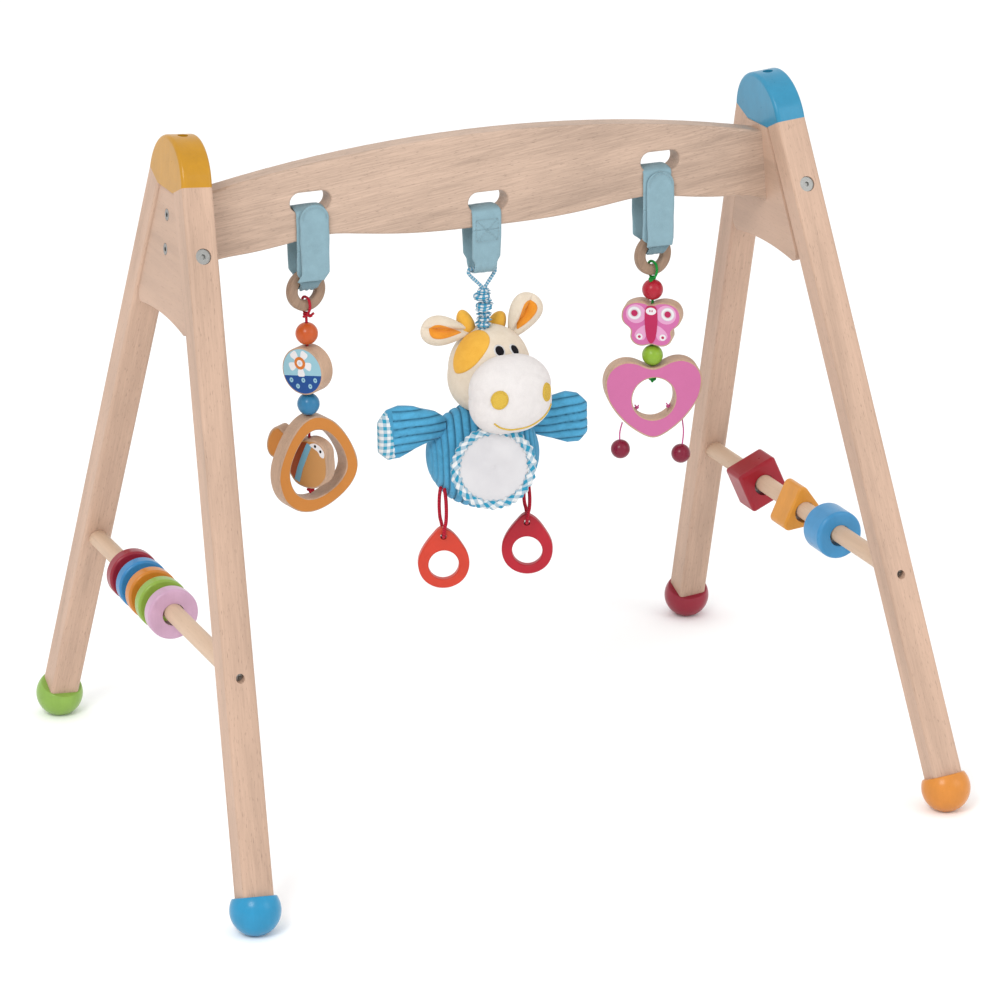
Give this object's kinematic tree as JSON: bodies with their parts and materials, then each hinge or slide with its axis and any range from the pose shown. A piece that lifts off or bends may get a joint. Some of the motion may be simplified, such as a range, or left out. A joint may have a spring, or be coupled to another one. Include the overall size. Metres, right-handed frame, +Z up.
{
  "type": "activity play gym",
  "caption": "Wooden baby play gym: two splayed A-frames and an arched beam with hanging toys, a soft cow on elastic, and slide-along rings and blocks on the side rungs.",
  "frame": {"origin": "on the floor, under the middle of the beam", "axes": "+X along the beam to the right, +Y to the rear, +Z up"},
  "size_m": [0.6338, 0.5366, 0.5643],
  "materials": {
    "beech": "satin",
    "beam_wood": "satin",
    "rung_wood": "satin",
    "toy_wood": "satin",
    "paint_ochre": "gloss",
    "paint_sky": "gloss",
    "paint_foot_blue": "gloss",
    "paint_foot_green": "gloss",
    "paint_foot_red": "gloss",
    "paint_foot_orange": "gloss",
    "paint_ring_red": "gloss",
    "paint_ring_blue": "gloss",
    "paint_ring_orange": "gloss",
    "paint_ring_green": "gloss",
    "paint_ring_pink": "gloss",
    "paint_block_red": "gloss",
    "paint_block_orange": "gloss",
    "paint_block_blue": "gloss",
    "paint_bead_orange": "gloss",
    "paint_bead_blue": "gloss",
    "paint_bead_red": "gloss",
    "paint_bead_green": "gloss",
    "paint_cherry": "gloss",
    "teether_orange": "gloss",
    "teether_red": "gloss",
    "printed_flower_disc": "satin",
    "printed_bird": "satin",
    "printed_teether_ring": "satin",
    "printed_butterfly": "satin",
    "printed_heart": "satin",
    "steel": "satin",
    "insert_brass": "satin",
    "dowel_wood": "plain",
    "webbing": "woven",
    "cord_red": "woven",
    "cord_green": "woven",
    "cord_pink": "woven",
    "cord_dark_red": "woven",
    "gingham": "woven",
    "plush_cream": "woven",
    "corduroy": "woven",
    "safety_mirror": "polished"
  },
  "bodies": {
    "frame": {"beam": "beam_wood", "gusset_left": "beech", "gusset_right": "beech", "leg_front_left": "beech", "leg_rear_left": "beech", "leg_front_right": "beech", "leg_rear_right": "beech", "cap_left": "paint_ochre", "cap_right": "paint_sky", "foot_front_left": "paint_foot_blue", "foot_rear_left": "paint_foot_green", "foot_rear_right": "paint_foot_red", "foot_front_right": "paint_foot_orange", "rung_left": "rung_wood", "rung_right": "rung_wood", "beam_bolts": "steel", "leg_bolts": "steel", "threaded_inserts": "insert_brass", "wood_screws": "steel", "foot_dowels": "dowel_wood", "strap_left": "webbing", "strap_middle": "webbing", "strap_right": "webbing"},
    "rung_ring_red": {"ring_red": "paint_ring_red"},
    "rung_ring_blue": {"ring_blue": "paint_ring_blue"},
    "rung_ring_orange": {"ring_orange": "paint_ring_orange"},
    "rung_ring_green": {"ring_green": "paint_ring_green"},
    "rung_ring_pink": {"ring_pink": "paint_ring_pink"},
    "rung_square": {"block_square": "paint_block_red"},
    "rung_triangle": {"block_triangle": "paint_block_orange"},
    "rung_drum": {"block_cylinder": "paint_block_blue"},
    "left_hanger": {"hanger_ring_left": "toy_wood"},
    "left_string": {"cord_left": "cord_red", "bead_orange": "paint_bead_orange", "bead_blue": "paint_bead_blue"},
    "left_disc": {"flower_disc": "printed_flower_disc"},
    "left_teether": {"teether_ring": "printed_teether_ring"},
    "left_bird": {"bird": "printed_bird"},
    "right_hanger": {"hanger_ring_right": "toy_wood"},
    "right_string": {"cord_right": "cord_green", "bead_red": "paint_bead_red", "bead_green": "paint_bead_green"},
    "right_butterfly": {"butterfly": "printed_butterfly"},
    "right_heart": {"heart": "printed_heart"},
    "right_cherry_a": {"cherry_left": "paint_cherry", "cherry_cord_left": "cord_pink"},
    "right_cherry_b": {"cherry_right": "paint_cherry", "cherry_cord_right": "cord_pink"},
    "cow_hanger": {"cow_loop": "gingham", "cow_elastic": "gingham"},
    "cow": {"cow_head": "plush_cream", "cow_ears_horns": "plush_cream", "cow_body": "corduroy", "cow_arms": "corduroy", "cow_mirror": "safety_mirror", "cow_binding": "gingham"},
    "cow_leg_a": {"cow_leg_cord_left": "cord_dark_red", "cow_teether_left": "teether_orange"},
    "cow_leg_b": {"cow_leg_cord_right": "cord_dark_red", "cow_teether_right": "teether_red"}
  },
  "joints": [
    {"name": "ring_orange_slide", "type": "slide", "parent": "frame", "child": "rung_ring_orange", "axis": [0, 1, 0], "range_m": [-0.055, 0.04]},
    {"name": "ring_blue_slide", "type": "slide", "parent": "rung_ring_orange", "child": "rung_ring_blue", "axis": [0, 1, 0], "range_m": [-0.012, 0.015]},
    {"name": "ring_red_slide", "type": "slide", "parent": "rung_ring_blue", "child": "rung_ring_red", "axis": [0, 1, 0], "range_m": [-0.012, 0.015]},
    {"name": "ring_green_slide", "type": "slide", "parent": "rung_ring_orange", "child": "rung_ring_green", "axis": [0, 1, 0], "range_m": [-0.025, 0.012]},
    {"name": "ring_pink_slide", "type": "slide", "parent": "rung_ring_green", "child": "rung_ring_pink", "axis": [0, 1, 0], "range_m": [-0.025, 0.012]},
    {"name": "triangle_slide", "type": "slide", "parent": "frame", "child": "rung_triangle", "axis": [0, 1, 0], "range_m": [-0.03, 0.025]},
    {"name": "square_slide", "type": "slide", "parent": "rung_triangle", "child": "rung_square", "axis": [0, 1, 0], "range_m": [-0.048, 0.033]},
    {"name": "drum_slide", "type": "slide", "parent": "rung_triangle", "child": "rung_drum", "axis": [0, 1, 0], "range_m": [-0.037, 0.035]},
    {"name": "left_ring_swing", "type": "hinge", "parent": "frame", "child": "left_hanger", "pos_m": [-0.1535, 0, 0.4396], "axis": [1, 0, 0], "range_deg": [-25, 25]},
    {"name": "left_string_swing", "type": "hinge", "parent": "left_hanger", "child": "left_string", "pos_m": [-0.1535, 0, 0.4144], "axis": [0, 1, 0], "range_deg": [-3, 15]},
    {"name": "left_disc_turn", "type": "hinge", "parent": "left_string", "child": "left_disc", "pos_m": [-0.1535, 0, 0.3613], "axis": [0, 0, 1], "continuous": true},
    {"name": "left_teether_turn", "type": "hinge", "parent": "left_string", "child": "left_teether", "pos_m": [-0.1535, 0, 0.2834], "axis": [0, 0, 1], "continuous": true},
    {"name": "bird_turn", "type": "hinge", "parent": "left_teether", "child": "left_bird", "pos_m": [-0.1535, 0, 0.2834], "axis": [0, 0, 1], "range_deg": [-38, 8]},
    {"name": "right_ring_swing", "type": "hinge", "parent": "frame", "child": "right_hanger", "pos_m": [0.1487, 0, 0.433], "axis": [1, 0, 0], "range_deg": [-25, 25]},
    {"name": "right_string_swing", "type": "hinge", "parent": "right_hanger", "child": "right_string", "pos_m": [0.1487, 0, 0.4078], "axis": [0, 1, 0], "range_deg": [-15, 4]},
    {"name": "butterfly_turn", "type": "hinge", "parent": "right_string", "child": "right_butterfly", "pos_m": [0.1487, 0, 0.3627], "axis": [0, 0, 1], "continuous": true},
    {"name": "heart_turn", "type": "hinge", "parent": "right_string", "child": "right_heart", "pos_m": [0.1487, 0, 0.2988], "axis": [0, 0, 1], "continuous": true},
    {"name": "cherry_left_swing", "type": "hinge", "parent": "right_heart", "child": "right_cherry_a", "pos_m": [0.12359, 0.00673, 0.2758], "axis": [-0.2588, -0.9659, 0], "range_deg": [-20, 20]},
    {"name": "cherry_right_swing", "type": "hinge", "parent": "right_heart", "child": "right_cherry_b", "pos_m": [0.17381, -0.00673, 0.2758], "axis": [-0.2588, -0.9659, 0], "range_deg": [-20, 20]},
    {"name": "cow_swing", "type": "hinge", "parent": "frame", "child": "cow_hanger", "pos_m": [-0.0023, 0, 0.427], "axis": [1, 0, 0], "range_deg": [-20, 20]},
    {"name": "cow_bounce", "type": "slide", "parent": "cow_hanger", "child": "cow", "axis": [0, 0, -1], "range_m": [0, 0.045], "stiffness_N_per_m": 60, "springref_m": -0.06, "deforming": ["cow_elastic"]},
    {"name": "teether_left_swing", "type": "hinge", "parent": "cow", "child": "cow_leg_a", "pos_m": [-0.04, -0.002, 0.2405], "axis": [1, 0, 0], "range_deg": [-14, 14]},
    {"name": "teether_right_swing", "type": "hinge", "parent": "cow", "child": "cow_leg_b", "pos_m": [0.0345, -0.002, 0.2415], "axis": [1, 0, 0], "range_deg": [-14, 14]}
  ]
}
